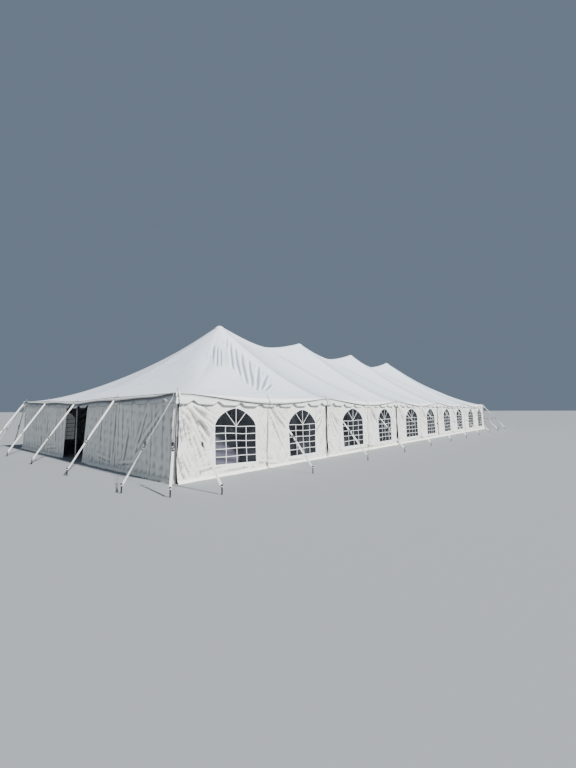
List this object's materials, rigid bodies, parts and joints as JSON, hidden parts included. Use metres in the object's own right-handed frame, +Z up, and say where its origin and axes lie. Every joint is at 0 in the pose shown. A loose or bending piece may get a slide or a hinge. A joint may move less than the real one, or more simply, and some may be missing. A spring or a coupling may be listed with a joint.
{
  "type": "marquee tent",
  "caption": "White pole-supported event tent with a peaked cloth roof, a valance, arched-window sidewalls, side poles, ratchet guy straps and stakes, and a doorway in one short side.",
  "frame": {"origin": "centre of the floor, on the ground under the middle of the ridge", "axes": "+X along the ridge, away from the short side with the doorway; +Y across the tent, away from the long side seen in the picture; +Z up"},
  "size_m": [32.989, 15.541, 5.735],
  "materials": {
    "canopy_vinyl": "satin coated cloth",
    "wall_vinyl": "satin coated cloth",
    "clear_vinyl": "clear glossy film",
    "pole_steel": "dull galvanised",
    "strap_web": "woven webbing with dark steel ratchet and stake"
  },
  "bodies": {
    "root": {"canopy_section_1": "canopy_vinyl", "canopy_section_2": "canopy_vinyl", "canopy_section_3": "canopy_vinyl", "canopy_section_4": "canopy_vinyl", "canopy_section_5": "canopy_vinyl", "centre_pole_1": "pole_steel", "centre_pole_2": "pole_steel", "centre_pole_3": "pole_steel", "centre_pole_4": "pole_steel", "front_side_poles": "pole_steel", "back_side_poles": "pole_steel", "left_side_poles": "pole_steel", "right_side_poles": "pole_steel", "front_guy_1": "strap_web", "front_guy_2": "strap_web", "front_guy_3": "strap_web", "front_guy_4": "strap_web", "front_guy_5": "strap_web", "front_guy_6": "strap_web", "front_guy_7": "strap_web", "front_guy_8": "strap_web", "front_guy_9": "strap_web", "back_guy_1": "strap_web", "back_guy_2": "strap_web", "back_guy_3": "strap_web", "back_guy_4": "strap_web", "back_guy_5": "strap_web", "back_guy_6": "strap_web", "back_guy_7": "strap_web", "back_guy_8": "strap_web", "back_guy_9": "strap_web", "left_guy_1": "strap_web", "left_guy_2": "strap_web", "left_guy_3": "strap_web", "right_guy_1": "strap_web", "right_guy_2": "strap_web", "right_guy_3": "strap_web", "front_left_corner_guys": "strap_web", "front_right_corner_guys": "strap_web", "back_left_corner_guys": "strap_web", "back_right_corner_guys": "strap_web", "front_wall_1": "wall_vinyl", "front_wall_2": "wall_vinyl", "front_wall_3": "wall_vinyl", "front_wall_4": "wall_vinyl", "front_wall_5": "wall_vinyl", "back_wall_1": "wall_vinyl", "back_wall_2": "wall_vinyl", "back_wall_3": "wall_vinyl", "back_wall_4": "wall_vinyl", "back_wall_5": "wall_vinyl", "left_wall_front": "wall_vinyl", "left_wall_back": "wall_vinyl", "right_wall_front": "wall_vinyl", "right_wall_back": "wall_vinyl", "front_window_sheet": "clear_vinyl", "back_window_sheet": "clear_vinyl"}
  },
  "joints": []
}
